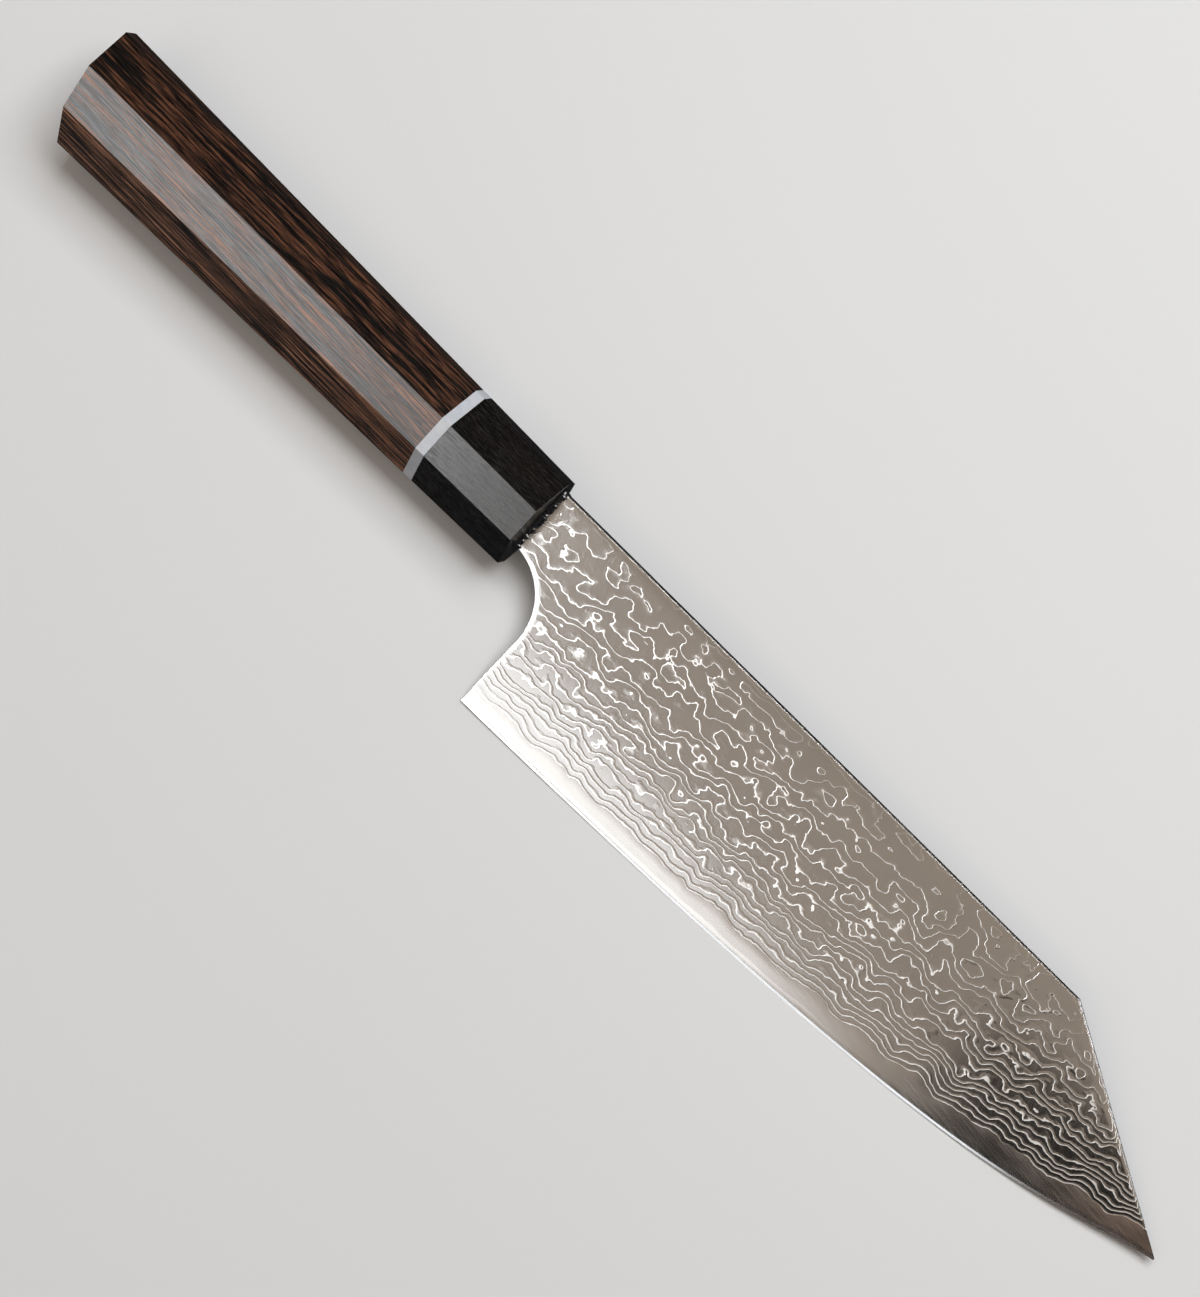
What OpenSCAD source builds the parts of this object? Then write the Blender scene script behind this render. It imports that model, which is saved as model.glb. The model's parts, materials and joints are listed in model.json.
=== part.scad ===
// K-tip kitchen knife: a clad blade with a hidden tang, glued into an octagonal wooden handle.
//
// The knife is drawn in its own axes: X from the ferrule's face towards the tip, Y towards the
// spine, Z out of the blade's right side, with the origin on the handle's axis. lying() then sets
// every piece down as the knife comes to rest on a flat board, which is the plane Z = 0.

/* [Blade outline] */
// Length from the ferrule's face to the tip
blade_len = 192; // [180:1:215]
// Height of the spine above the handle's axis
neck_top = 9; // [8:0.1:9.4]
// Depth of the neck below the handle's axis
neck_bottom = 6.4; // [5:0.1:6.8]
// Radius of the choil, which also sets how far the heel stands ahead of the ferrule
choil_r = 13.3; // [10:0.1:18]
// Depth of the heel below the handle's axis
heel_drop = 37.7; // [32:0.1:44]
// Distance from the ferrule's face to the corner where the spine ends and the K-tip begins
corner_x = 145.5; // [120:0.5:155]
// Depth of the tip below the handle's axis
tip_drop = 18.4; // [14:0.1:24]
// Height of the tip's blunt end
tip_nose = 0.4; // [0.3:0.1:1]
// Length of the edge's straight run-out from the heel, as a curve handle
heel_run = 150; // [110:1:155]
// Upward angle of the edge at the heel
heel_rise = 0.75; // [0:0.05:1.5]
// Length of the edge's run-in to the tip, as a curve handle
tip_run = 24; // [12:1:40]
// Upward angle of the edge at the tip
tip_rise = 12; // [8:0.5:18]

/* [Blade section] */
// Thickness of the spine at the neck
spine_t = 2.2; // [1.8:0.1:2.6]
// Thickness that the spine's taper would reach at the tip
tip_t = 1.2; // [1:0.1:1.6]
// Thickness just behind the cutting bevel
edge_t = 0.24; // [0.16:0.02:0.3]
// Height of the cutting bevel
bevel_h = 0.7; // [0.4:0.1:1]
// How convex the ground faces are, where 1 is a flat grind
grind_curve = 1.6; // [1.2:0.1:2]
// Thickness of the hard core between the claddings
core_t = 0.46; // [0.4:0.02:0.6]

/* [Tang] */
// Length of the tang behind the ferrule's face
tang_len = 84; // [60:1:88]
// Height of the tang at its root
tang_root_h = 9.4; // [7:0.1:9.8]
// Height of the tang at its end
tang_end_h = 5; // [4:0.1:7]
// Height of the tang's centre line above the handle's axis
tang_rise = 0.4; // [0:0.1:0.4]
// Length over which the neck steps down to the tang
shoulder_len = 3; // [2:0.1:4]

/* [Handle] */
// Length of the whole handle along its axis
handle_len = 130; // [115:1:145]
// Length of the ferrule
ferrule_len = 24.8; // [18:0.1:30]
// Thickness of the spacer ring
spacer_len = 2.4; // [1:0.1:4]
// Height of the handle's section at the ferrule's face, across the blade's edge and spine
front_h = 22; // [21.8:0.1:24]
// Thickness of the handle's section at the ferrule's face
front_t = 18.8; // [17.6:0.1:21]
// Corner cut of the octagon at the ferrule's face
front_cut = 7; // [5.5:0.1:7.4]
// Height of the handle's section at the butt
butt_h = 27; // [24:0.1:28]
// Thickness of the handle's section at the butt
butt_t = 22.7; // [20:0.1:24]
// Corner cut of the octagon at the butt
butt_cut = 8.5; // [6:0.1:9]
// Slant of the butt's end face, which leaves the spine side longer
butt_slant = 8.5; // [0:0.5:12]

/* [Joint of blade and handle] */
// Diameter of the hidden dowel
dowel_d = 13; // [12:0.5:13.5]
// Distance from the ferrule's face to the dowel's far end
dowel_end = 92; // [91:1:100]
// Depth of the ferrule's mouth in front of the dowel
mouth_depth = 4; // [3.2:0.1:6]
// Width of the ferrule's mouth across the blade's thickness
mouth_w = 3.8; // [3.2:0.1:5]
// Gap between the neck and the mouth's two ends
mouth_gap = 0.6; // [0.4:0.1:0.8]
// Height of the dowel's slot for the tang
slot_h = 11; // [10.8:0.1:11.4]
// Width of the dowel's slot for the tang
slot_w = 3; // [2.8:0.1:3.6]
// How far the mouth's seal stands proud of the ferrule's face
bead_proud = 0.8; // [0.4:0.1:1.2]
// How far the proud bead of the seal reaches past the mouth all round
bead_w = 0.5; // [0.2:0.1:0.6]

/* [Hidden] */

// Number of sides of the round bores and arcs
ROUND = 64;
// Half-thicknesses of the blade's layers
core_half = core_t / 2;
edge_half = edge_t / 2;
// The heel stands straight below the end of the choil's quarter circle
heel_x = choil_r;
choil_end_y = -neck_bottom - choil_r;
// A length greater than any of the knife's, for the blocks that cut planes
BIG = 300;

// ---- the cutting edge, one cubic Bezier curve from heel to tip ----

heel_point = [heel_x, -heel_drop];
tip_point = [blade_len, -tip_drop];
edge_poles = [
    heel_point,
    heel_point + heel_run * [cos(heel_rise), sin(heel_rise)],
    tip_point - tip_run * [cos(tip_rise), sin(tip_rise)],
    tip_point
];

function bezier(poles, t) =
    pow(1 - t, 3) * poles[0]
    + 3 * pow(1 - t, 2) * t * poles[1]
    + 3 * (1 - t) * t * t * poles[2]
    + t * t * t * poles[3];

// The curve's parameter at a given X, by halving the interval that holds it
function edge_parameter(x, low = 0, high = 1, steps = 24) =
    let (middle = (low + high) / 2)
    steps == 0 ? middle
    : bezier(edge_poles, middle).x < x ? edge_parameter(x, middle, high, steps - 1)
    : edge_parameter(x, low, middle, steps - 1);

// Ahead of the heel the edge is the curve, and behind it the grind runs on level
function edge_y(x) =
    x <= heel_x ? -heel_drop
    : x >= blade_len ? -tip_drop
    : bezier(edge_poles, edge_parameter(x)).y;

// ---- the outline above and below ----

function ramp(x, x0, x1, v0, v1) = v0 + (v1 - v0) * min(1, max(0, (x - x0) / (x1 - x0)));

function tang_half_h(x) = ramp(x, -tang_len, -shoulder_len, tang_end_h, tang_root_h) / 2;

function top_y(x) =
    x < 0 ? max(tang_rise + tang_half_h(x), ramp(x, -shoulder_len, 0, 0, neck_top))
    : ramp(x, corner_x, blade_len, neck_top, tip_nose - tip_drop);

function bottom_y(x) =
    x < 0 ? min(tang_rise - tang_half_h(x), ramp(x, -shoulder_len, 0, 0, -neck_bottom))
    : x < heel_x ? choil_end_y + sqrt(pow(choil_r, 2) - pow(x, 2))
    : x == heel_x ? choil_end_y
    : edge_y(x);

// ---- the ground faces ----

// Half the spine's thickness, tapering towards the tip
function spine_half(x) = ramp(x, 0, blade_len, spine_t, tip_t) / 2;

// Height of the ground face between the cutting bevel and the spine's line
function face_h(x) = neck_top - edge_y(x) - bevel_h;

// Half the blade's thickness at a point of its outline
function half_t(x, y) =
    let (rise = y - edge_y(x), up = min(1, (rise - bevel_h) / face_h(x)))
    rise < bevel_h ? edge_half * rise / bevel_h
    : edge_half + (spine_half(x) - edge_half) * (1 - pow(1 - up, grind_curve));

// The line where the ground face cuts through the cladding and bares the core
function bare_y(x) =
    let (left = (spine_half(x) - core_half) / (spine_half(x) - edge_half))
    edge_y(x) + bevel_h + face_h(x) * (1 - pow(left, 1 / grind_curve));

// The cladding ends where that line comes this close to the K-tip's cut
CLAD_END_H = 0.6;
function clad_end(low, high, steps = 24) =
    let (middle = (low + high) / 2)
    steps == 0 ? low
    : top_y(middle) - bare_y(middle) > CLAD_END_H ? clad_end(middle, high, steps - 1)
    : clad_end(low, middle, steps - 1);
clad_end_x = clad_end(corner_x, blade_len);

// ---- stations along the blade, and rows across it ----

function even(x0, x1, count) = [for (i = [0 : count - 1]) x0 + (x1 - x0) * i / count];

NECK_STATIONS = 8;
tang_stations = concat(even(-tang_len, -shoulder_len, 3), [-shoulder_len, -shoulder_len / 2]);
neck_stations = [for (i = [0 : NECK_STATIONS - 1]) choil_r * sin(90 * i / NECK_STATIONS)];
clad_stations = concat(even(heel_x, corner_x, 34), even(corner_x, clad_end_x, 12), [clad_end_x]);
TIP_STATIONS = 6;
tip_stations = [
    for (i = [1 : TIP_STATIONS]) ramp(i, 0, TIP_STATIONS, clad_end_x, blade_len)
];
root_stations = concat(tang_stations, neck_stations);
blade_stations = concat(root_stations, clad_stations);
HEEL_AT = len(root_stations);

// The upper rows run on from the blade into neck and tang, so the lowest of them follows the
// choil and starts the blade at the choil's end
split = (choil_end_y - bare_y(heel_x)) / (neck_top - bare_y(heel_x));
function split_y(x, bare) = x <= heel_x ? bottom_y(x) : bare + split * (top_y(x) - bare);

// Row heights of a cladding: LOW_ROWS below the split, UP_ROWS above it
LOW_ROWS = 5;
UP_ROWS = 7;
function clad_row(x, j) =
    let (bare = bare_y(x), middle = split_y(x, bare))
    j < LOW_ROWS ? ramp(j, 0, LOW_ROWS, bare, middle)
    : ramp(j, LOW_ROWS, LOW_ROWS + UP_ROWS, middle, top_y(x));

// Row heights of the core: edge, bevel, bare line, split and top. Past the cladding's end the
// rows keep their order by staying inside the narrowing tip.
BEVEL_SHARE = 0.5;
BARE_SHARE = 0.96;
function core_row(x, j) =
    let (
        edge = edge_y(x),
        room = top_y(x) - edge,
        bare = min(bare_y(x), edge + BARE_SHARE * room)
    )
    [edge, edge + min(bevel_h, BEVEL_SHARE * room), bare, split_y(x, bare), top_y(x)][j];

// One layer of the blade: a closed sheet between two faces over a grid of stations and rows.
// Stations before number heel_at are neck and tang, which have only the rows from low_rows up.
// Row 0 is a sharp line that both faces share, such as the cutting edge.
module layer(stations, heel_at, low_rows, last_row, row, upper, lower) {
    last = len(stations) - 1;
    grid = len(stations) * (last_row + 1);
    function up(i, j) = i * (last_row + 1) + j;
    function down(i, j) = j == 0 ? up(i, 0) : grid + up(i, j);
    function first(i) = i < heel_at ? low_rows : 0;
    // A wall between two neighbouring grid points, which is a triangle where it meets row 0
    function wall(i0, j0, i1, j1) = concat(
        [up(i0, j0), up(i1, j1)],
        j1 == 0 ? [] : [down(i1, j1)],
        j0 == 0 ? [] : [down(i0, j0)]
    );
    points = [
        for (face = [upper, lower]) for (x = stations) for (j = [0 : last_row])
            let (y = row(x, j)) [x, y, face(x, y)]
    ];
    cells = [for (i = [0 : last - 1]) for (j = [first(i) : last_row - 1]) [i, j]];
    faces = [
        for (cell = cells) let (i = cell.x, j = cell.y)
            each [
                [up(i, j), up(i, j + 1), up(i + 1, j + 1)],
                [up(i, j), up(i + 1, j + 1), up(i + 1, j)],
                [down(i, j), down(i + 1, j + 1), down(i, j + 1)],
                [down(i, j), down(i + 1, j), down(i + 1, j + 1)]
            ],
        for (i = [0 : last - 1]) wall(i + 1, last_row, i, last_row),
        for (i = [0 : last - 1]) if (i < heel_at) wall(i, low_rows, i + 1, low_rows),
        for (j = [first(0) : last_row - 1]) wall(0, j + 1, 0, j),
        for (j = [0 : low_rows - 1]) if (heel_at < last) wall(heel_at, j + 1, heel_at, j),
        for (j = [first(last) : last_row - 1]) wall(last, j, last, j + 1)
    ];
    polyhedron(points, faces);
}

// ---- the handle's octagon ----

// Takes away what lies outside one facet, which stands at these distances from the axis at the
// ferrule's face and at the butt
module outside_facet(angle, front, butt)
    rotate([angle, 0, 0])
        translate([0, front, 0])
            rotate([0, 0, -atan((butt - front) / handle_len)])
                translate([-BIG, 0, -BIG / 2])
                    cube([2 * BIG, BIG, BIG]);

// Distance of a corner facet from the axis of an octagon
function corner_reach(height, thickness, cut) = ((height + thickness) / 2 - cut) / sqrt(2);

// The handle's tapering octagonal bar between two distances behind the ferrule's face
module octagon_bar(near, far) {
    corner_front = corner_reach(front_h, front_t, front_cut);
    corner_butt = corner_reach(butt_h, butt_t, butt_cut);
    difference() {
        translate([-far, -butt_h, -butt_h])
            cube([far - near, 2 * butt_h, 2 * butt_h]);
        for (side = [0, 180]) {
            outside_facet(side, front_h / 2, butt_h / 2);
            outside_facet(side + 90, front_t / 2, butt_t / 2);
            outside_facet(side + 45, corner_front, corner_butt);
            outside_facet(side + 135, corner_front, corner_butt);
        }
    }
}

// What the slanted cut takes off the handle's end
module beyond_butt()
    translate([-handle_len, 0, 0])
        rotate([0, 0, butt_slant])
            translate([-BIG, -BIG / 2, -BIG / 2])
                cube([BIG, BIG, BIG]);

// A round bar along the handle's axis
module axis_rod(diameter, near, far)
    translate([-far, 0, 0])
        rotate([0, 90, 0])
            cylinder(d = diameter, h = far - near, $fn = ROUND);

// A slot with round ends, cut along the handle's axis around the neck
module mouth_block(near, far, grow) {
    width = mouth_w + 2 * grow;
    high = neck_top + mouth_gap + grow - width / 2;
    low = -neck_bottom - mouth_gap - grow + width / 2;
    translate([-far, 0, 0])
        rotate([90, 0, 90])
            linear_extrude(far - near) {
                translate([low, -width / 2])
                    square([high - low, width]);
                for (y = [low, high])
                    translate([y, 0])
                        circle(d = width, $fn = ROUND);
            }
}

// The straight slot in the dowel
module slot_block()
    translate([-tang_len - slot_w / 2, -slot_h / 2, -slot_w / 2])
        cube([tang_len + slot_w / 2 - mouth_depth, slot_h, slot_w]);

// The steel of neck and tang at its full thickness, to fit the filling around it
module blade_root()
    layer(
        concat(root_stations, [heel_x]), HEEL_AT + 1, 1, UP_ROWS + 1,
        function (x, j) ramp(j, 1, UP_ROWS + 1, bottom_y(x), top_y(x)),
        function (x, y) half_t(x, y),
        function (x, y) -half_t(x, y)
    );

// ---- how the knife lies ----

// The octagon's corners, as a ring of points at one place along the handle
function ring(x, height, thickness, cut) = [
    for (side = [1, -1]) for (face = [1, -1])
        each [
            [x, side * height / 2, face * (thickness / 2 - cut)],
            [x, side * (height / 2 - cut), face * thickness / 2]
        ]
];
front_ring = ring(0, front_h, front_t, front_cut);
rear_ring = ring(-handle_len, butt_h, butt_t, butt_cut);

// Where the line through two of its corners meets the slanted end face
function at_butt(front, rear) =
    let (slope = tan(butt_slant), step = rear - front)
    front + step * (-handle_len - front.x - slope * front.y) / (step.x + slope * step.y);
butt_ring = [for (i = [0 : len(front_ring) - 1]) at_butt(front_ring[i], rear_ring[i])];

edge_line = [for (x = concat(clad_stations, tip_stations)) [x, edge_y(x), 0]];

// The plane that the knife comes to rest on touches the handle's lowest edge line, between these
// two corners, and the cutting edge at its belly
ferrule_corner = [0, front_cut - front_h / 2, -front_t / 2];
rear_corner = [-handle_len, butt_cut - butt_h / 2, -butt_t / 2];
edge_normals = [
    for (point = edge_line)
        let (across = cross(point - ferrule_corner, ferrule_corner - rear_corner))
        across / norm(across)
];
// The knife rolls about that line only until the first point of its edge touches
first_touch = max([for (normal = edge_normals) normal.z]);
rest_normal = [for (normal = edge_normals) if (normal.z == first_touch) normal][0];
rest_pitch = atan2(-rest_normal.x, rest_normal.z);
rest_roll = atan2(rest_normal.y, norm([rest_normal.x, rest_normal.z]));

// A point of the knife, turned as it lies
function turned(p) =
    let (
        x = p.x * cos(rest_pitch) + p.z * sin(rest_pitch),
        z = p.z * cos(rest_pitch) - p.x * sin(rest_pitch)
    )
    [x, p.y * cos(rest_roll) - z * sin(rest_roll), p.y * sin(rest_roll) + z * cos(rest_roll)];
outermost = [for (p = concat(front_ring, butt_ring, edge_line)) turned(p)];
low = [for (k = [0 : 2]) min([for (p = outermost) p[k]])];
high = [for (k = [0 : 2]) max([for (p = outermost) p[k]])];

// Lays a piece down with the whole knife centred over the origin
module lying()
    translate([-(low.x + high.x) / 2, -(low.y + high.y) / 2, -low.z])
        rotate([rest_roll, 0, 0])
            rotate([0, rest_pitch, 0])
                children();

// ---- the pieces ----

// Hard steel core with the cutting edge, running back through neck and tang
module core_steel()
    color([0.62, 0.61, 0.6])
        lying()
            layer(
                concat(blade_stations, tip_stations), HEEL_AT, 3, 4,
                function (x, j) core_row(x, j),
                function (x, y) min(core_half, half_t(x, y)),
                function (x, y) -min(core_half, half_t(x, y))
            );

// One patterned cladding, on the side that faces up (1) or down (-1)
module cladding(side)
    color([0.56, 0.52, 0.47])
        lying()
            mirror([0, 0, side < 0 ? 1 : 0])
                layer(
                    blade_stations, HEEL_AT, LOW_ROWS, LOW_ROWS + UP_ROWS,
                    function (x, j) clad_row(x, j),
                    function (x, y) half_t(x, y),
                    function (x, y) core_half
                );

module cladding_right() cladding(1);

module cladding_left() cladding(-1);

// Black epoxy that fills the ferrule's mouth and stands proud around the neck
module mouth_seal()
    color([0.06, 0.06, 0.07])
        lying()
            difference() {
                union() {
                    mouth_block(0, mouth_depth, 0);
                    mouth_block(-bead_proud, 0, bead_w);
                }
                blade_root();
            }

// Black ferrule, bored for the dowel from behind and slotted for the neck in front
module ferrule()
    color([0.05, 0.045, 0.045])
        lying()
            difference() {
                octagon_bar(0, ferrule_len);
                axis_rod(dowel_d, mouth_depth, ferrule_len + 1);
                mouth_block(-1, mouth_depth, 0);
            }

// White ring between ferrule and handle
module spacer()
    color([0.82, 0.84, 0.86])
        lying()
            difference() {
                octagon_bar(ferrule_len, ferrule_len + spacer_len);
                axis_rod(dowel_d, ferrule_len - 1, ferrule_len + spacer_len + 1);
            }

// Striped wooden handle with a blind bore for the dowel
module handle_body()
    color([0.2, 0.1, 0.06])
        lying()
            difference() {
                octagon_bar(ferrule_len + spacer_len, handle_len + butt_h * tan(butt_slant));
                axis_rod(dowel_d, ferrule_len, dowel_end);
                beyond_butt();
            }

// Wooden tenon through ferrule, spacer and handle, slotted for the tang
module dowel()
    color([0.78, 0.66, 0.48])
        lying()
            difference() {
                axis_rod(dowel_d, mouth_depth, dowel_end);
                slot_block();
            }

// Epoxy that beds the tang in the dowel's slot
module tang_adhesive()
    color([0.7, 0.6, 0.35])
        lying()
            difference() {
                slot_block();
                blade_root();
            }

core_steel();
cladding_right();
cladding_left();
mouth_seal();
ferrule();
spacer();
handle_body();
dowel();
tang_adhesive();
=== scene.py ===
"""Looks of a K-tip kitchen knife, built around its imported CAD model.

The blade is built again from its grind's formulas, as fine sheets that reflect smoothly, and the
epoxy around its neck as a ragged bead. The other pieces are the CAD nodes with eased edges.

The knife's own axes run along the handle to the tip (X), up to the spine (Y) and out of the
blade's right side (Z), in millimetres. place() turns such a point into the frame's metres.
"""

import functools
import json
import math

import bpy
from mathutils import Matrix, Vector, noise


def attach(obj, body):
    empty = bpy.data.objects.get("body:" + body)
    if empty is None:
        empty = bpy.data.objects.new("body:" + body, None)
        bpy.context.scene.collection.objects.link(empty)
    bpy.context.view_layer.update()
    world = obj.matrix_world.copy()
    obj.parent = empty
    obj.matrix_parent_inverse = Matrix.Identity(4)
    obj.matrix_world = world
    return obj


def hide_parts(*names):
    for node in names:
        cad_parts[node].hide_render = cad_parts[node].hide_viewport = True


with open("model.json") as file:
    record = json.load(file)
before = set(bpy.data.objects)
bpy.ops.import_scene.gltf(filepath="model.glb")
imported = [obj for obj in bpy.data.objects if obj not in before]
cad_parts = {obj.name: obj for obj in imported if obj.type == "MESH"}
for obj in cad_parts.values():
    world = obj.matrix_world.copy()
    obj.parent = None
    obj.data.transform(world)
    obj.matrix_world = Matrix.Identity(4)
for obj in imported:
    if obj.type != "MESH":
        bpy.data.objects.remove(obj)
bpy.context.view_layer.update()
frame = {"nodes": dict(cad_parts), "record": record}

MM = 0.001

# ---- the knife's own axes, from the record's two flats and the ferrule's front face ----

mounts = {mount["name"]: mount for mount in frame["record"]["mounts"]}
upper_flat = Vector(mounts["upper_flat"]["axis"])
lower_flat = Vector(mounts["lower_flat"]["axis"])
TO_TIP = (upper_flat + lower_flat).normalized()
TO_RIGHT = (upper_flat - lower_flat).normalized()
TO_SPINE = TO_RIGHT.cross(TO_TIP)

axis_point = (Vector(mounts["upper_flat"]["pos_m"]) + Vector(mounts["lower_flat"]["pos_m"])) / 2
ferrule_points = [vertex.co for vertex in frame["nodes"]["ferrule"].data.vertices]
ORIGIN = axis_point + TO_TIP * max((point - axis_point).dot(TO_TIP) for point in ferrule_points)
KNIFE_TURN = Matrix((TO_TIP, TO_SPINE, TO_RIGHT)).transposed().to_euler()


def place(x, y, z):
    """A point of the knife, in the frame."""
    return ORIGIN + MM * (x * TO_TIP + y * TO_SPINE + z * TO_RIGHT)


# ---- the blade's driving dimensions, which are the CAD model's ----

# Outline: the neck, the choil's quarter circle, and the corner where the K-tip's cut begins
BLADE_LEN = 192
NECK_TOP = 9
NECK_BOTTOM = -6.4
CHOIL_R = 13.3
CHOIL_END = NECK_BOTTOM - CHOIL_R
CORNER_X = 145.5
TIP_TOP = -18
TIP_EDGE = -18.4
CUT_ANGLE = math.atan((NECK_TOP - TIP_TOP) / (BLADE_LEN - CORNER_X))

# The cutting edge, a cubic curve whose handles have a length and a rise
HEEL = Vector((CHOIL_R, -37.7))
TIP = Vector((BLADE_LEN, TIP_EDGE))
HEEL_RUN, HEEL_RISE = 150, math.radians(0.75)
TIP_RUN, TIP_RISE = 24, math.radians(12)
EDGE_POLES = (
    HEEL,
    HEEL + HEEL_RUN * Vector((math.cos(HEEL_RISE), math.sin(HEEL_RISE))),
    TIP - TIP_RUN * Vector((math.cos(TIP_RISE), math.sin(TIP_RISE))),
    TIP,
)

# Half thicknesses, the cutting bevel's height, and the power that rounds the grind above it
SPINE_HALF, TIP_HALF = 1.1, 0.6
EDGE_HALF = 0.12
CORE_HALF = 0.23
BEVEL_H = 0.7
GRIND_CURVE = 1.6

# The tang, the shoulder where it widens to the neck, and the ferrule's mouth around them
TANG_LEN, TANG_END_HALF_H, TANG_ROOT_HALF_H, TANG_RISE = 84, 2.5, 4.7, 0.4
SHOULDER_LEN = 3
MOUTH_HALF_W, MOUTH_TOP, MOUTH_BOTTOM, MOUTH_DEPTH = 1.9, 9.6, -7.0, 4


def ramp(x, x0, x1, v0, v1):
    """From v0 at x0 to v1 at x1, level outside them."""
    return v0 + (v1 - v0) * min(1, max(0, (x - x0) / (x1 - x0)))


def edge_point(t):
    """The cutting edge, a cubic curve from heel to tip."""
    a, b, c, d = EDGE_POLES
    s = 1 - t
    return s**3 * a + 3 * s * s * t * b + 3 * s * t * t * c + t**3 * d


HALVINGS = 30


@functools.cache
def edge_y(x):
    """Height of the cutting edge at x, by halving the curve's parameter."""
    if x <= HEEL.x:
        return HEEL.y
    low, high = 0.0, 1.0
    for _ in range(HALVINGS):
        middle = (low + high) / 2
        if edge_point(middle).x < x:
            low = middle
        else:
            high = middle
    return edge_point(low).y


def tang_half_h(x):
    """Half the tang's height, which grows towards the shoulder."""
    return ramp(x, -TANG_LEN, -SHOULDER_LEN, TANG_END_HALF_H, TANG_ROOT_HALF_H)


def top_y(x):
    """Height of the upper outline: tang, shoulder, straight spine and K-tip."""
    if x < 0:
        return max(TANG_RISE + tang_half_h(x), ramp(x, -SHOULDER_LEN, 0, 0, NECK_TOP))
    return ramp(x, CORNER_X, BLADE_LEN, NECK_TOP, TIP_TOP)


def tang_bottom_y(x):
    """Height of the lower outline behind the choil: tang and shoulder."""
    return min(TANG_RISE - tang_half_h(x), ramp(x, -SHOULDER_LEN, 0, 0, NECK_BOTTOM))


def spine_half(x):
    """Half the blade's thickness at the spine, which tapers to the tip."""
    return ramp(x, 0, BLADE_LEN, SPINE_HALF, TIP_HALF)


def ground_half(x, y):
    """Half the blade's thickness between its convex ground faces."""
    rise = y - edge_y(x)
    if rise < BEVEL_H:
        return EDGE_HALF * rise / BEVEL_H
    up = min(1, (rise - BEVEL_H) / (NECK_TOP - edge_y(x) - BEVEL_H))
    return EDGE_HALF + (spine_half(x) - EDGE_HALF) * (1 - (1 - up) ** GRIND_CURVE)


# Long and short waves in the core's faces: their lengths, and their shares of its thickness
LONG_WAVE, LONG_SHARE = 6.5, 0.16
SHORT_WAVE, SHORT_SHARE = 2.1, 0.07


def core_half(x):
    """Half the core's thickness, which the forging left a little wavy."""
    long_wave = noise.noise(Vector((x / LONG_WAVE, 0, 3.1)))
    short_wave = noise.noise(Vector((x / SHORT_WAVE, 5.3, 0)))
    return CORE_HALF * (1 + LONG_SHARE * long_wave + SHORT_SHARE * short_wave)


def bare_y(x):
    """Height at which the ground face cuts through the cladding and bares the core."""
    left = (spine_half(x) - core_half(x)) / (spine_half(x) - EDGE_HALF)
    face_h = NECK_TOP - edge_y(x) - BEVEL_H
    return min(top_y(x), edge_y(x) + BEVEL_H + face_h * (1 - left ** (1 / GRIND_CURVE)))


# ---- the blade's eased border ----

# How far the rounding reaches in from the border, and the share of the cladding it may take off
CHOIL_EASE, SPINE_EASE = 1.1, 0.6
EASE_SHARE = 0.6


def fall(depth, reach, drop):
    """How far a rounded border falls below the face, at a depth inside the border."""
    if depth >= reach:
        return 0
    return drop * (1 - math.sqrt(1 - (1 - max(0, depth) / reach) ** 2))


def choil_depth(x, y):
    """Distance inside the choil's arc and the straight wall below it."""
    if x < 0:
        return CHOIL_EASE
    return math.hypot(x, y - CHOIL_END) - CHOIL_R if y > CHOIL_END else x - HEEL.x


def face_z(x, y):
    """Half the thickness with the borders eased, never less than the core's."""
    half = ground_half(x, y)
    clad = max(0, half - core_half(x)) * EASE_SHARE
    spine_depth = (top_y(x) - y) * (math.cos(CUT_ANGLE) if x > CORNER_X else 1)
    at_choil = fall(choil_depth(x, y), CHOIL_EASE, clad)
    at_spine = fall(spine_depth, SPINE_EASE, clad)
    return half - min(at_choil + at_spine, clad)


# ---- the blade's plan: a flat grid of stations and rows, shared by core and claddings ----

# Spacing of the stations along the blade, and how many there are on its other stretches
STATION = 0.8
TANG_STEPS, SHOULDER_STEPS, ARC_STEPS, WALL_STEPS, TIP_STEPS = 4, 6, 26, 18, 10
# The cladding's height where it is taken to end at the tip, and the step of the search for it
CLAD_END_H, CLAD_END_STEP = 0.3, 0.1
# Distances of the close rows from the lower border and from the spine, the number of rows on the
# face between them, and the length of a column below which the close rows are squeezed
NEAR_BORDER = (0, 0.04, 0.12, 0.25, 0.42, 0.62, 0.85, 1.15)
NEAR_SPINE = (0.35, 0.2, 0.11, 0.05, 0)
FACE_ROWS = 24
SHORT_COLUMN = 4
# Rows of the bare band: 0 is the cutting edge, 1 the bevel's line, 2 the bare line
BAND_ROWS = (0, 0.5, 1, 1.25, 1.6, 2)
# How far the stations lean forward up to the spine at the heel, and where they stand upright
FAN_REACH, FAN_END = 11, 75


def between(first, last, count):
    """Evenly spread values from first up to last, without last."""
    return [first + (last - first) * i / count for i in range(count)]


def clad_end():
    """Where the K-tip's cut has come down to the bared core."""
    x = BLADE_LEN
    while top_y(x) - bare_y(x) < CLAD_END_H:
        x -= CLAD_END_STEP
    return x


def blade_stations():
    """Stations on the bare line, from the heel to the cladding's end."""
    end = clad_end()
    return (
        between(HEEL.x, CORNER_X, round((CORNER_X - HEEL.x) / STATION))
        + between(CORNER_X, end, round((end - CORNER_X) / STATION))
        + [end]
    )


def spine_x(x):
    """Where the station that starts at x on the bare line meets the spine."""
    fade = ramp(x, HEEL.x, FAN_END, 1, 0)
    return x + FAN_REACH * fade * fade * (3 - 2 * fade)


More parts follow.
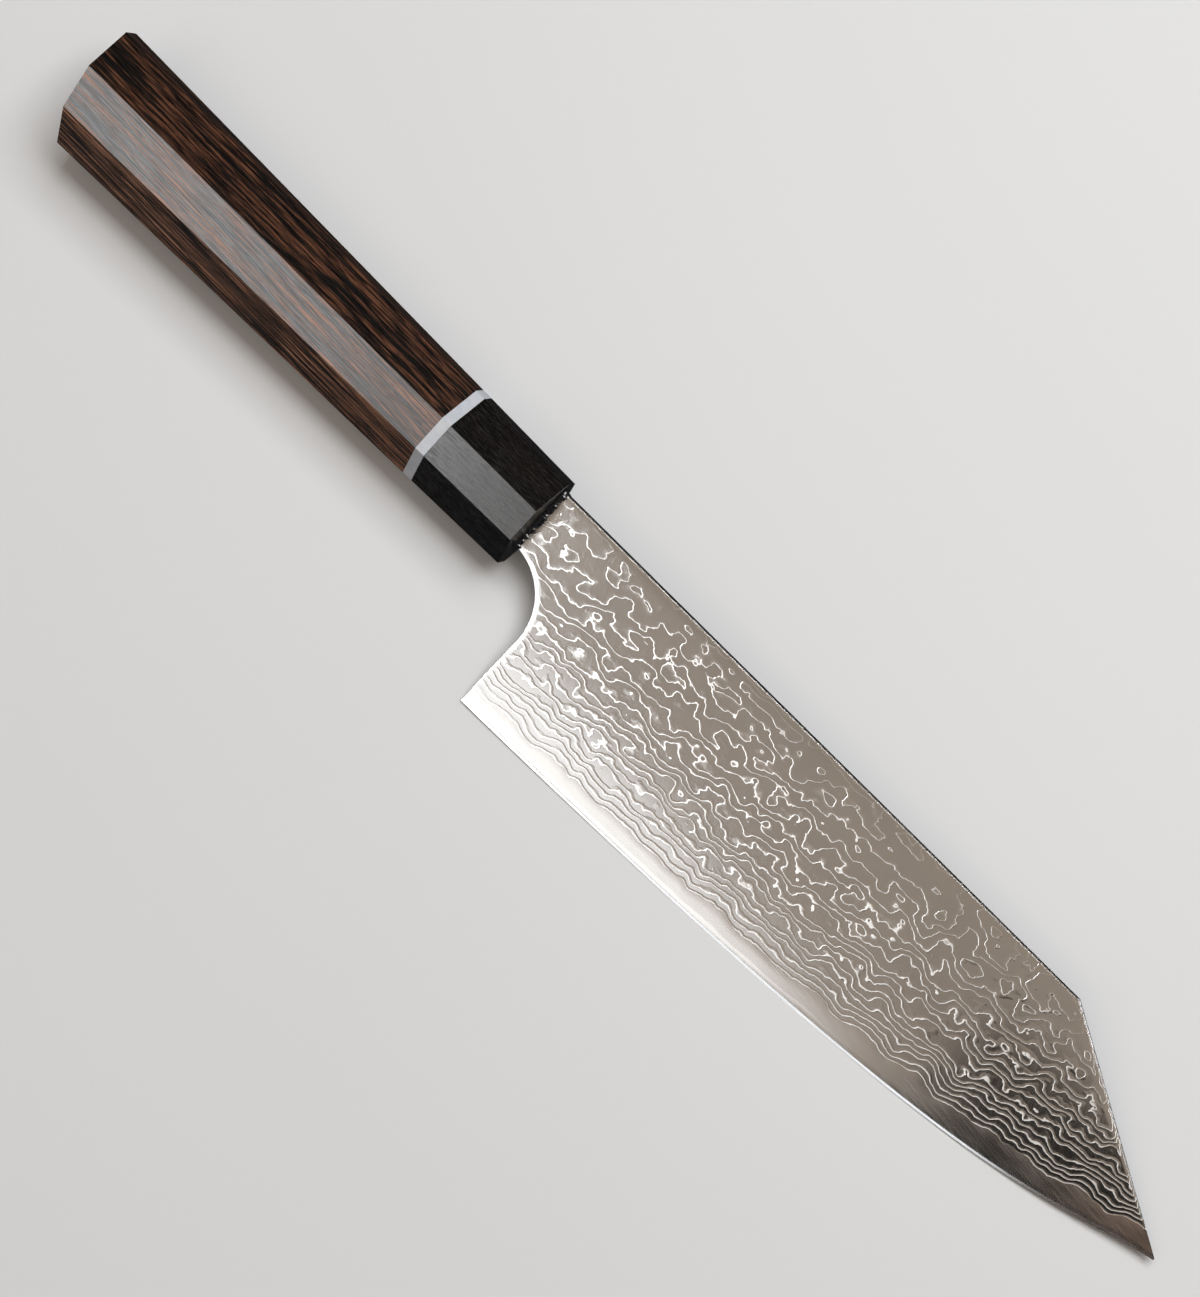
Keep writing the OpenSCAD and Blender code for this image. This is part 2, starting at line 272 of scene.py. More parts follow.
def stations_of_face():
    """Pairs of points, on the face's lower border and on the spine, from the tang to the tip."""
    tang_xs = between(-TANG_LEN, -SHOULDER_LEN, TANG_STEPS)
    shoulder_xs = between(-SHOULDER_LEN, 0, SHOULDER_STEPS)
    pairs = [((x, tang_bottom_y(x)), (x, top_y(x))) for x in tang_xs + shoulder_xs]
    wall_end = bare_y(HEEL.x)
    border = [
        (CHOIL_R * math.sin(angle), CHOIL_END + CHOIL_R * math.cos(angle))
        for angle in between(0, math.pi / 2, ARC_STEPS)
    ]
    border += [(HEEL.x, y) for y in between(CHOIL_END, wall_end, WALL_STEPS)]
    arc_len = CHOIL_R * math.pi / 2
    border_len = arc_len + CHOIL_END - wall_end
    runs = between(0, arc_len, ARC_STEPS) + between(arc_len, border_len, WALL_STEPS)
    for point, run in zip(border, runs):
        pairs.append((point, (spine_x(HEEL.x) * run / border_len, NECK_TOP)))
    for x in blade_stations():
        pairs.append(((x, bare_y(x)), (spine_x(x), top_y(spine_x(x)))))
    return pairs


def rows_between(low, high):
    """Points from the border to the spine, close together near both."""
    low, high = Vector(low), Vector(high)
    length = (high - low).length
    squeeze = min(1, length / SHORT_COLUMN)
    start = NEAR_BORDER[-1] * squeeze / length
    stop = 1 - NEAR_SPINE[0] * squeeze / length
    shares = [near * squeeze / length for near in NEAR_BORDER[:-1]]
    shares += between(start, stop, FACE_ROWS)
    shares += [1 - near * squeeze / length for near in NEAR_SPINE]
    return [low.lerp(high, share) for share in shares]


def rows_of_band(x):
    """Points from the cutting edge to the bare line, with the cutting bevel's line among them."""
    low, high = edge_y(x), bare_y(x)
    bevel = low + min(BEVEL_H, (high - low) / 2)
    return [
        Vector((x, low + (bevel - low) * row if row <= 1 else bevel + (high - bevel) * (row - 1)))
        for row in BAND_ROWS
    ]


class Plan:
    """A flat mesh whose points are shared where grids meet."""

    def __init__(self):
        self.points = []
        self.index = {}
        self.quads = []

    def point(self, p):
        """The index of a point, which is added unless it is there already."""
        key = (round(p.x, 4), round(p.y, 4))
        if key not in self.index:
            self.index[key] = len(self.points)
            self.points.append((p.x, p.y))
        return self.index[key]

    def add_grid(self, columns):
        """Columns of points, from -X to +X, each from -Y to +Y."""
        grid = [[self.point(p) for p in column] for column in columns]
        for left, right in zip(grid, grid[1:]):
            for j in range(len(left) - 1):
                corners = (left[j], right[j], right[j + 1], left[j + 1])
                distinct = tuple(dict.fromkeys(corners))
                if len(distinct) > 2:
                    self.quads.append(distinct)
        return self

    def border(self):
        """The directed edges that only one face has."""
        edges = {
            (face[k], face[(k + 1) % len(face)]) for face in self.quads for k in range(len(face))
        }
        return [edge for edge in edges if edge[::-1] not in edges]


def face_plan():
    """The columns that the core and both claddings share."""
    return [rows_between(*pair) for pair in stations_of_face()]


def band_plan():
    """The columns of the bare band, on to the tip."""
    stations = blade_stations()
    tip_stations = between(stations[-1], BLADE_LEN, TIP_STEPS)[1:] + [BLADE_LEN]
    return [rows_of_band(x) for x in stations + tip_stations]


# Faces shade as one surface where they meet at less than this angle
SMOOTH_BELOW = math.radians(40)
# Where a sheet is thinner than this, in millimetres, its two sides share their points
PINCHED = 1e-4


def finish_mesh(name, points, faces, values=None):
    """A new piece of the knife, smooth where its faces meet at a low angle.

    The values are lists of one number for each point, kept under their names for the materials.
    """
    mesh = bpy.data.meshes.new(name)
    mesh.from_pydata(points, [], faces)
    for value_name, numbers in (values or {}).items():
        attribute = mesh.attributes.new(value_name, "FLOAT", "POINT")
        attribute.data.foreach_set("value", numbers)
    mesh.polygons.foreach_set("use_smooth", [True] * len(mesh.polygons))
    mesh.set_sharp_from_angle(angle=SMOOTH_BELOW)
    mesh.validate()
    piece = bpy.data.objects.new(name, mesh)
    bpy.context.scene.collection.objects.link(piece)
    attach(piece, "root")
    return piece


def sheet_solid(name, plan, upper, lower, measures=None):
    """A closed solid over a plan, between an upper and a lower height at each point.

    Each measure is kept under its name as a value of the solid's points.
    """
    count = len(plan.points)
    pinched = [upper(x, y) - lower(x, y) < PINCHED for x, y in plan.points]
    below = [i if pinched[i] else count + i for i in range(count)]
    points = [(x, y, upper(x, y)) for x, y in plan.points]
    points += [(x, y, lower(x, y)) for x, y in plan.points]
    faces = list(plan.quads)
    faces += [tuple(below[i] for i in reversed(face)) for face in plan.quads]
    for a, b in plan.border():
        wall = tuple(dict.fromkeys((b, a, below[a], below[b])))
        if len(wall) > 2:
            faces.append(wall)
    used = sorted({i for face in faces for i in face})
    new_index = {old: new for new, old in enumerate(used)}
    return finish_mesh(
        name,
        [place(*points[i]) for i in used],
        [tuple(new_index[i] for i in face) for face in faces],
        {key: [measure(*points[i]) for i in used] for key, measure in (measures or {}).items()},
    )


# Thickness of the first pair of layers beside the core, at the neck, and how much thicker each
# pair is than the one before
FIRST_PAIR, PAIR_GROWTH = 0.044, 0.014


def first_pair(x):
    """The first pair's thickness, drawn out with the blade's taper."""
    return FIRST_PAIR * spine_half(x) / SPINE_HALF


def layer_at(x, y, z):
    """How many pairs of layers lie between the core and a point of the cladding."""
    depth = max(0, abs(z) - core_half(x))
    return math.log(1 + PAIR_GROWTH * depth / first_pair(x)) / PAIR_GROWTH


def layer_slope(x, y, z):
    """How many pairs of layers the ground face crosses in a millimetre towards the spine."""
    face_h = NECK_TOP - edge_y(x) - BEVEL_H
    up = min(1, max(0, (y - edge_y(x) - BEVEL_H) / face_h))
    slope = (spine_half(x) - EDGE_HALF) * GRIND_CURVE * (1 - up) ** (GRIND_CURVE - 1) / face_h
    depth = max(0, abs(z) - core_half(x))
    return slope / (first_pair(x) + PAIR_GROWTH * depth)


def make_core():
    """The core, from the tang's end to the cutting edge and the tip."""
    plan = Plan().add_grid(face_plan()).add_grid(band_plan())

    def half(x, y):
        return min(core_half(x), ground_half(x, y)) if x >= 0 else core_half(x)

    return sheet_solid("blade_core", plan, half, lambda x, y: -half(x, y))


def make_cladding(name, side):
    """The cladding on the blade's right (1) or left (-1), with its layers measured."""
    plan = Plan().add_grid(face_plan())

    def outer(x, y):
        return side * max(core_half(x), face_z(x, y))

    def inner(x, y):
        return side * core_half(x)

    upper, lower = (outer, inner) if side > 0 else (inner, outer)
    return sheet_solid(name, plan, upper, lower, {"layer": layer_at, "layer_slope": layer_slope})


# ---- the seal around the neck ----

SEAL_STEPS = 260
# The bead's mean height up the neck and width on the ferrule, and the thickness of its foot
BEAD_HEIGHT, BEAD_WIDTH, BEAD_FOOT = 1.05, 0.5, 0.03
# Its profile from the foot up: the share of the way in to the neck, and the share of the height
BEAD_PROFILE = ((0.35, 0.18), (0.72, 0.5), (0.95, 1), (1, 1))
# Sizes of the noises that make it ragged
LUMP, GRAIN = 1.1, 0.35
# How far the resin reaches into the neck's faces, so that no gap shows
SUNK = 0.03


def around_slot(run, half_w, low, high):
    """A point on a slot with round ends, at a share of the way round it."""
    straight = high - low - 2 * half_w
    turn = math.pi * half_w
    length = 2 * (straight + turn)
    s = run * length
    if s < straight:
        return Vector((low + half_w + s, half_w))
    if s < straight + turn:
        angle = (s - straight) / half_w
        return Vector((high - half_w + half_w * math.sin(angle), half_w * math.cos(angle)))
    if s < 2 * straight + turn:
        return Vector((high - half_w - (s - straight - turn), -half_w))
    angle = (s - 2 * straight - turn) / half_w
    return Vector((low + half_w - half_w * math.sin(angle), -half_w * math.cos(angle)))


def on_neck(point):
    """The nearest point of the neck's own section, just inside its faces."""
    y = min(NECK_TOP - SUNK, max(NECK_BOTTOM + SUNK, point.x))
    z = min(SPINE_HALF - SUNK, max(SUNK - SPINE_HALF, point.y))
    return Vector((y, z))


def make_seal():
    """A ragged bead around the neck, and the resin below it, as rings round the mouth."""
    rings = []
    for step in range(SEAL_STEPS):
        mouth = around_slot(step / SEAL_STEPS, MOUTH_HALF_W, MOUTH_BOTTOM, MOUTH_TOP)
        neck = on_neck(mouth)
        lump = noise.noise(Vector((mouth.x / LUMP, mouth.y / LUMP, 0.7)))
        grain = noise.noise(Vector((mouth.x / GRAIN, mouth.y / GRAIN, 4.2)))
        height = BEAD_HEIGHT * (0.95 + 0.75 * lump + 0.45 * grain)
        outward = (mouth - neck).normalized()
        foot = mouth + outward * BEAD_WIDTH * (0.45 + 0.5 * lump + 0.3 * grain)
        ring = [place(-MOUTH_DEPTH, *mouth), place(0, *mouth), place(BEAD_FOOT, *foot)]
        ring += [place(rise * height, *foot.lerp(neck, way)) for way, rise in BEAD_PROFILE]
        ring.append(place(-MOUTH_DEPTH, *neck))
        rings.append(ring)
    count = len(rings[0])
    points = [point for ring in rings for point in ring]
    faces = []
    for i in range(SEAL_STEPS):
        following = (i + 1) % SEAL_STEPS
        for j in range(count):
            k = (j + 1) % count
            near, far = i * count, following * count
            faces.append((near + j, near + k, far + k, far + j))
    return finish_mesh("epoxy_seal", points, faces)


# ---- modifiers: joined points, and eased edges of the pieces that stay ----

# Points nearer to each other than this, in millimetres, are one point
SAME_POINT = 0.002
# Edges sharper than this angle are eased, with a round of so many segments
EASED_FROM, EASE_SEGMENTS = math.radians(25), 3


def join_points(piece):
    """Joins the points that lie in one place, and drops the faces that this closes up."""
    weld = piece.modifiers.new("weld", "WELD")
    weld.merge_threshold = SAME_POINT * MM


def ease_edges(node, width):
    """Joins the node's facets and rounds the edges between them, as modifiers on the CAD node."""
    piece = frame["nodes"][node]
    join_points(piece)
    bevel = piece.modifiers.new("eased", "BEVEL")
    bevel.width = width * MM
    bevel.segments = EASE_SEGMENTS
    bevel.limit_method = "ANGLE"
    bevel.angle_limit = EASED_FROM
    normals = piece.modifiers.new("normals", "WEIGHTED_NORMAL")
    normals.weight = 100
    return piece


# ---- writing materials ----


class Painter:
    """A short way to write the nodes of one material around its Principled shader."""

    def __init__(self, name, **constants):
        self.material = bpy.data.materials.new(name)
        self.material.use_nodes = True
        self.tree = self.material.node_tree
        self.shader = self.tree.nodes["Principled BSDF"]
        for socket, value in constants.items():
            self.shader.inputs[socket.replace("_", " ")].default_value = value

    def node(self, kind, inputs, **properties):
        """A node whose inputs are given a constant or another node's output."""
        node = self.tree.nodes.new("ShaderNode" + kind)
        for name, value in properties.items():
            setattr(node, name, value)
        for key, value in inputs.items():
            if isinstance(value, bpy.types.NodeSocket):
                self.tree.links.new(value, node.inputs[key])
            else:
                node.inputs[key].default_value = value
        return node

    def set(self, socket, value):
        """Leads a node's output into the shader."""
        self.tree.links.new(value, self.shader.inputs[socket])

    def knife_point(self):
        """The shaded point in the knife's own axes, in millimetres."""
        here = self.node("TexCoord", {}).outputs["Object"]
        placing = {"Vector": here, "Location": ORIGIN, "Rotation": KNIFE_TURN, "Scale": (MM,) * 3}
        return self.node("Mapping", placing, vector_type="TEXTURE").outputs[0]

    def kept(self, name):
        """A value that the mesh keeps for its points."""
        return self.node("Attribute", {}, attribute_name=name).outputs["Fac"]

    def stretched(self, vector, sizes, turn=(0, 0, 0)):
        """The vector turned, then measured in units of these sizes."""
        turned = self.node("Mapping", {"Vector": vector, "Rotation": turn}).outputs[0]
        scale = tuple(1 / size for size in sizes)
        return self.node("Mapping", {"Vector": turned, "Scale": scale}).outputs[0]

    def noise(self, vector, detail=2.0, roughness=0.5, distortion=0.0):
        """Smooth noise whose features are about one unit of the vector in size."""
        settings = {
            "Vector": vector, "Scale": 1.0, "Detail": detail,
            "Roughness": roughness, "Distortion": distortion,
        }
        return self.node("TexNoise", settings).outputs[0]

    def math(self, operation, a, b=0.0):
        """The result of one operation on two numbers."""
        return self.node("Math", {0: a, 1: b}, operation=operation).outputs[0]

    def span(self, value, from_low, from_high, to_low=0.0, to_high=1.0):
        """The value's range mapped smoothly onto another, clamped at both ends."""
        ends = {"Value": value, 1: from_low, 2: from_high, 3: to_low, 4: to_high}
        return self.node("MapRange", ends, interpolation_type="SMOOTHSTEP").outputs[0]

    def curve(self, value, stops):
        """A value read off a piecewise straight line, given as (position, value) stops."""
        node = self.node("ValToRGB", {"Fac": value})
        elements = node.color_ramp.elements
        while len(elements) < len(stops):
            elements.new(0.5)
        for element, (position, level) in zip(elements, stops):
            element.position = position
            element.color = (level, level, level, 1)
        return node.outputs[0]

    def mix(self, factor, low, high):
        """One colour where the factor is 0, another where it is 1."""
        node = self.node("Mix", {0: factor}, data_type="RGBA")
        for socket, colour in ((node.inputs[6], low), (node.inputs[7], high)):
            if isinstance(colour, bpy.types.NodeSocket):
                self.tree.links.new(colour, socket)
            else:
                socket.default_value = (*colour, 1)
        return node.outputs[2]

    def bump(self, height, depth):
        """Relief of this depth, in millimetres."""
        settings = {"Height": height, "Distance": depth * MM, "Strength": 1.0}
        self.set("Normal", self.node("Bump", settings).outputs[0])


# ---- steel ----

GROUND_STEEL = (0.47, 0.465, 0.46)
# The etched lines' own colour, also used for the painted sheen beside them
LINE_STEEL = (0.77, 0.76, 0.74)
# Width of a line in millimetres where the layers run out steeply, and the least width anywhere as
# a share of a pair of layers
LINE_WIDTH, LEAST_LINE = 0.20, 0.022


def patterned_steel():
    """Layered steel, ground through and etched: matt bright lines where a layer comes out, each with a
    painted sheen fading on one side.
    """
    paint = Painter("patterned_steel", Metallic=1.0)
    point = paint.knife_point()
    layer = paint.kept("layer")
    slope = paint.kept("layer_slope")

    broad = paint.noise(paint.stretched(point, (6.2, 4.2, 3.0)), detail=1.0)
    fine = paint.noise(paint.stretched(point, (2.4, 1.7, 2.0)), detail=1.5)
    sway = paint.math("MULTIPLY", paint.math("SUBTRACT", broad, 0.5), 4.0)
    jitter = paint.math("MULTIPLY", paint.math("SUBTRACT", fine, 0.5), 1.1)
    room = paint.span(layer, -1.0, 7.0, 0.22, 1.0)
    wander = paint.math("MULTIPLY", paint.math("ADD", sway, jitter), room)
    phase = paint.math("FRACT", paint.math("ADD", layer, wander))

    width = paint.math("ADD", paint.math("MULTIPLY", slope, LINE_WIDTH), LEAST_LINE)
    crisp = paint.span(paint.math("DIVIDE", phase, width), 0.15, 1.5, 1.0, 0.0)
    # Painted sheen: a soft lighter tail on one side of each line, standing in for the glint of the
    # layers' slanted relief
    painted_sheen_stops = [(0, 0.30), (0.10, 0.20), (0.22, 0.04), (0.3, 0), (0.985, 0), (1, 0.8)]
    painted_sheen = paint.curve(phase, painted_sheen_stops)
    # From here on, line holds the etched lines' own colour and the painted sheen beside them
    line = paint.math("MAXIMUM", crisp, painted_sheen)
    line = paint.math("MULTIPLY", line, paint.span(slope, 0.08, 0.45, 0.55, 1.0))

    cloud = paint.noise(paint.stretched(point, (14, 9, 9)), detail=3.0)
    ground = paint.mix(paint.span(cloud, 0.3, 0.7), GROUND_STEEL, [0.94 * c for c in GROUND_STEEL])
    paint.set("Base Color", paint.mix(line, ground, LINE_STEEL))
    polish = paint.noise(paint.stretched(point, (5, 0.12, 0.12), turn=(0, 0, 1.2)), detail=2.0)
    smooth = paint.span(polish, 0.3, 0.8, 0.09, 0.14)
    matt = paint.math("MULTIPLY", line, 0.32)
    paint.set("Roughness", paint.math("ADD", smooth, matt))
    slant = paint.curve(phase, [(0, 0.55), (0.2, 0.35), (0.45, 0), (0.96, 0), (1, 0.55)])
    paint.bump(paint.math("MAXIMUM", line, slant), 0.022)
    return paint.material


# Where the core begins to turn duller towards the tip and its colour takes on a painted warm brown
# reflection, and where it is dullest
TIP_ZONE, DULLEST_X = 150, 185


def core_steel():
    """Plain polished steel with faint lengthwise marks, duller at the tip, where its colour is painted
    brown as a warm reflection.
    """
    paint = Painter("core_steel", Metallic=1.0)
    point = paint.knife_point()
    marks = paint.noise(paint.stretched(point, (7, 0.22, 30), turn=(0, 0, 0.12)), detail=0.0)
    cloud = paint.noise(paint.stretched(point, (10, 4, 4)), detail=2.0)
    tone = paint.mix(marks, (0.50, 0.49, 0.48), (0.57, 0.56, 0.55))
    ahead = paint.node("SeparateXYZ", {0: point}).outputs["X"]
    # Painted reflection: towards the tip the colour turns to the warm brown that a warm ceiling would
    # reflect
    brown = paint.span(ahead, TIP_ZONE, BLADE_LEN)
    paint.set("Base Color", paint.mix(brown, tone, (0.55, 0.44, 0.38)))
    scratched = paint.span(marks, 0.3, 0.75, 0.11, 0.14)
    polished = paint.math("ADD", scratched, paint.span(cloud, 0.3, 0.7, 0, 0.03))
    dull = paint.span(ahead, TIP_ZONE, DULLEST_X, 0, 0.06)
    paint.set("Roughness", paint.math("ADD", polished, dull))
    paint.bump(marks, 0.0002)
    return paint.material


# ---- woods ----

# The handle's layers lie parallel to a chamfer, and a little across the handle's length
LAYER_TURN = (math.radians(-45), 0, math.radians(2.2))


def striped_wood():
    """Dark wood in black and red-brown layers that lie flat under the spine-side chamfer, with painted
    light that makes the red-brown much lighter on the facets facing the cutting edge's side.
    """
    paint = Painter("striped_wood", Specular_IOR_Level=0.6)
    point = paint.knife_point()
    leaves = paint.stretched(point, (36, 0.40, 0.7), turn=LAYER_TURN)
    stripes = paint.noise(leaves, detail=4.0, roughness=0.66, distortion=0.3)
    threads = paint.noise(paint.stretched(point, (15, 0.12, 0.15), turn=LAYER_TURN), detail=2.0)
    pores = paint.noise(paint.stretched(point, (4.0, 0.13, 0.13)), detail=1.0)
    # Painted light: facets that face the cutting edge's side get a much lighter red-brown, as if lit
    # from that side
    normal = paint.node("TexCoord", {}).outputs["Normal"]
    sideways = paint.node("SeparateXYZ", {0: normal}).outputs["Y"]
    painted_lit_side = paint.span(sideways, -0.80, 0.25, 1.0, 0.0)
    bright = paint.mix(painted_lit_side, (0.17, 0.066, 0.030), (0.80, 0.35, 0.17))
    streak = paint.span(stripes, 0.45, 0.62)
    brown = paint.mix(paint.span(threads, 0.40, 0.62), (0.028, 0.010, 0.005), bright)
    wood = paint.mix(streak, (0.0030, 0.0022, 0.0020), brown)
    pore = paint.span(pores, 0.28, 0.40)
    paint.set("Base Color", paint.mix(pore, (0.002, 0.0015, 0.0015), wood))
    satin = paint.span(threads, 0.35, 0.65, 0.24, 0.40)
    paint.set("Roughness", paint.math("ADD", satin, paint.math("MULTIPLY", streak, 0.06)))
    paint.bump(paint.math("ADD", pore, threads), 0.006)
    return paint.material


def black_wood():
    """Close black wood with short pores along the grain."""
    paint = Painter("black_wood", Specular_IOR_Level=0.8)
    point = paint.knife_point()
    fibres = paint.noise(paint.stretched(point, (7, 0.2, 0.2)), detail=4.0, roughness=0.65)
    pores = paint.noise(paint.stretched(point, (2.2, 0.17, 0.17)), detail=1.0)
    tone = paint.noise(paint.stretched(point, (18, 5, 5)), detail=2.0)
    grain = paint.mix(paint.span(fibres, 0.3, 0.75), (0.0015, 0.0013, 0.0013), (0.006, 0.005, 0.0045))
    paint.set("Base Color", paint.mix(paint.span(tone, 0.4, 0.7), grain, (0.006, 0.004, 0.0035)))
    filled = paint.span(pores, 0.32, 0.42, 0.0, 1.0)
    satin = paint.span(fibres, 0.35, 0.65, 0.19, 0.31)
    dull = paint.math("MULTIPLY", paint.math("SUBTRACT", 1.0, filled), 0.25)
    paint.set("Roughness", paint.math("ADD", satin, dull))
    paint.bump(paint.math("ADD", filled, fibres), 0.005)
    return paint.material


def pale_wood():
    """Straight-grained pale wood of the hidden dowel."""
    paint = Painter("pale_wood")
    point = paint.knife_point()
    rings = paint.noise(paint.stretched(point, (50, 1.2, 4)), detail=3.0, roughness=0.6)
    fibres = paint.noise(paint.stretched(point, (5, 0.15, 0.15)), detail=2.0)
    grain = paint.mix(paint.span(rings, 0.35, 0.65), (0.62, 0.46, 0.28), (0.45, 0.30, 0.16))
    paint.set("Base Color", paint.mix(paint.span(fibres, 0.5, 0.8, 0, 0.4), grain, (0.36, 0.24, 0.13)))
    paint.set("Roughness", paint.span(fibres, 0.3, 0.7, 0.55, 0.7))
    paint.bump(fibres, 0.02)
    return paint.material


# ---- resins and plastic ----


def white_spacer():
    """Milky bluish-white plastic with a faint cloud, sanded with the wood."""
    paint = Painter("white_spacer", Subsurface_Weight=0.15, Subsurface_Scale=0.5 * MM)
    point = paint.knife_point()
    cloud = paint.noise(paint.stretched(point, (3, 2, 2)), detail=3.0)
    marks = paint.noise(paint.stretched(point, (4, 0.15, 0.15)), detail=2.0)
    milk = paint.mix(paint.span(cloud, 0.3, 0.7), (0.52, 0.56, 0.62), (0.60, 0.63, 0.68))
    paint.set("Base Color", milk)
    paint.set("Roughness", paint.span(marks, 0.3, 0.7, 0.34, 0.42))
    paint.bump(marks, 0.003)
    return paint.material


def black_epoxy():
    """Glossy black resin, lumpy where it was wiped off around the neck."""
    paint = Painter("black_epoxy", Coat_Weight=0.4, Coat_Roughness=0.08)
    point = paint.knife_point()
    lumps = paint.noise(paint.stretched(point, (0.5, 0.5, 0.5)), detail=3.0, roughness=0.6)
    dusty = paint.span(lumps, 0.4, 0.75)
    paint.set("Base Color", paint.mix(dusty, (0.003, 0.003, 0.004), (0.020, 0.022, 0.026)))
    paint.set("Roughness", paint.span(lumps, 0.3, 0.7, 0.12, 0.35))
    paint.bump(lumps, 0.025)
    return paint.material


def amber_epoxy():
    """Cloudy amber resin that beds the tang."""
    paint = Painter("amber_epoxy")
    point = paint.knife_point()
    cloud = paint.noise(paint.stretched(point, (4, 2, 2)), detail=3.0)
    dense = paint.span(cloud, 0.3, 0.7)
    paint.set("Base Color", paint.mix(dense, (0.50, 0.34, 0.12), (0.36, 0.22, 0.07)))
    paint.set("Roughness", paint.span(cloud, 0.3, 0.7, 0.2, 0.35))
    paint.bump(cloud, 0.02)
    return paint.material


# ---- the studio ----

# The camera: its place, the point it looks at, the direction that is up in the picture, its lens
CAMERA_AT = Vector((0.12737, 0.00060, 0.89504))
CAMERA_AIM = Vector((-0.00400, 0.00280, 0.0))
PICTURE_UP = Vector((-0.69978, 0.70668, 0.10445))
LENS = 122.484

# The floor, and the tint of the boxes overhead
FLOOR_SIZE = 6.0
FLOOR_COLOUR = (0.80, 0.83, 0.86)
COOL_WHITE = (0.92, 0.96, 1.0)

# The one lamp that lights the floor: its place, size and brightness
KEY_AT, KEY_SIZE, KEY_RADIANCE = Vector((0.10, 0.62, 1.10)), (0.9, 0.7), 6.2

# Level boxes overhead, seen only in reflections: name, corner at +X and +Y, size, brightness, turn
BOX_HEIGHT = 0.8
OVERHEAD_BOXES = (
    ("heel_box", (0.068, -0.534), (0.42, 0.24), 1.65, math.radians(-12)),
    ("edge_box", (0.24, -0.82), (0.60, 0.20), 2.2, 0.0),
    ("handle_box", (-0.198, -0.250), (0.29, 0.30), 9.0, 0.0),
)

# Boxes at the sides that eased borders mirror: name, place, point aimed at, size, brightness
SIDE_BOXES = (
    ("tip_side_box", Vector((0.55, 0.55, 0.42)), place(BLADE_LEN, 0, 0), (0.35, 0.5), 13.0),
    ("choil_side_box", Vector((-0.45, -0.65, 0.40)), place(0, CHOIL_END, 0), (0.8, 0.5), 5.0),
)

# A dark card overhead, for the dark patch near the tip
CARD_AT, CARD_SIZE = (0.31, -0.6125), (0.384, 0.355)


def facing(toward, up):
    """The rotation of a camera or lamp that looks toward a direction, upright in its view."""
    back = -toward.normalized()
    right = up.cross(back).normalized()
    return Matrix((right, back.cross(right), back)).transposed().to_4x4()


def make_camera():
    """The one camera, above the knife and turned so that the knife lies across the picture."""
    camera = bpy.data.objects.new("camera", bpy.data.cameras.new("camera"))
    camera.data.lens = LENS
    camera.data.clip_start = 0.01
    camera.matrix_world = Matrix.Translation(CAMERA_AT) @ facing(CAMERA_AIM - CAMERA_AT, PICTURE_UP)
    bpy.context.scene.collection.objects.link(camera)
    bpy.context.scene.camera = camera


def make_softbox(name, centre, aim, size, radiance, turn=0.0, tint=(1, 1, 1)):
    """A rectangular lamp of one brightness all over."""
    lamp = bpy.data.lights.new(name, "AREA")
    lamp.color = tint
    lamp.shape = "RECTANGLE"
    lamp.size, lamp.size_y = size
    lamp.energy = radiance * math.pi * size[0] * size[1]
    box = bpy.data.objects.new(name, lamp)
    look = facing(aim - centre, Vector((0, 1, 0)))
    box.matrix_world = Matrix.Translation(centre) @ look @ Matrix.Rotation(turn, 4, "Z")
    bpy.context.scene.collection.objects.link(box)
    return box


def make_overhead_box(name, corner, size, radiance, turn):
    """A level softbox that shows only in reflections, hung from its corner at +X, +Y."""
    turned = Matrix.Rotation(turn, 3, "Z")
    centre = Vector((*corner, BOX_HEIGHT)) + turned @ Vector((-size[0] / 2, -size[1] / 2, 0))
    below = centre - Vector((0, 0, 1))
    box = make_softbox(name, centre, below, size, radiance, turn, COOL_WHITE)
    box.visible_diffuse = False


def floor_paint():
    """Matt, pale and faintly clouded."""
    paint = Painter("floor", Roughness=0.7)
    here = paint.node("TexCoord", {}).outputs["Object"]
    cloud = paint.noise(paint.stretched(here, (0.2, 0.2, 0.2)), detail=3.0)
    darker = [0.97 * c for c in FLOOR_COLOUR]
    paint.set("Base Color", paint.mix(cloud, FLOOR_COLOUR, darker))
    return paint.material


def dark_card_paint():
    """Matt and nearly black."""
    return Painter("dark_card", Roughness=1.0, Base_Color=(0.01, 0.01, 0.011, 1)).material


def make_plate(name, centre, size, material):
    """A level rectangle that belongs to the studio."""
    quarters = ((-1, -1), (1, -1), (1, 1), (-1, 1))
    corners = [centre + Vector((sx * size[0] / 2, sy * size[1] / 2, 0)) for sx, sy in quarters]
    mesh = bpy.data.meshes.new(name)
    mesh.from_pydata(corners, [], [(0, 1, 2, 3)])
    mesh.materials.append(material)
    plate = bpy.data.objects.new(name, mesh)
    bpy.context.scene.collection.objects.link(plate)
    return plate


# The studio's walls and ceiling: height of the direction, as its Z, and the colour seen there.
# What lies level with the floor or lower is dark, and shows only in reflections.
SURROUNDINGS = (
    (0.0, (0.03, 0.03, 0.03)),
    (0.02, (0.30, 0.30, 0.31)),
    (0.12, (0.25, 0.25, 0.26)),
    (0.26, (0.02, 0.02, 0.02)),
    (0.68, (0.02, 0.02, 0.02)),
    (0.76, (0.54, 0.45, 0.37)),
)


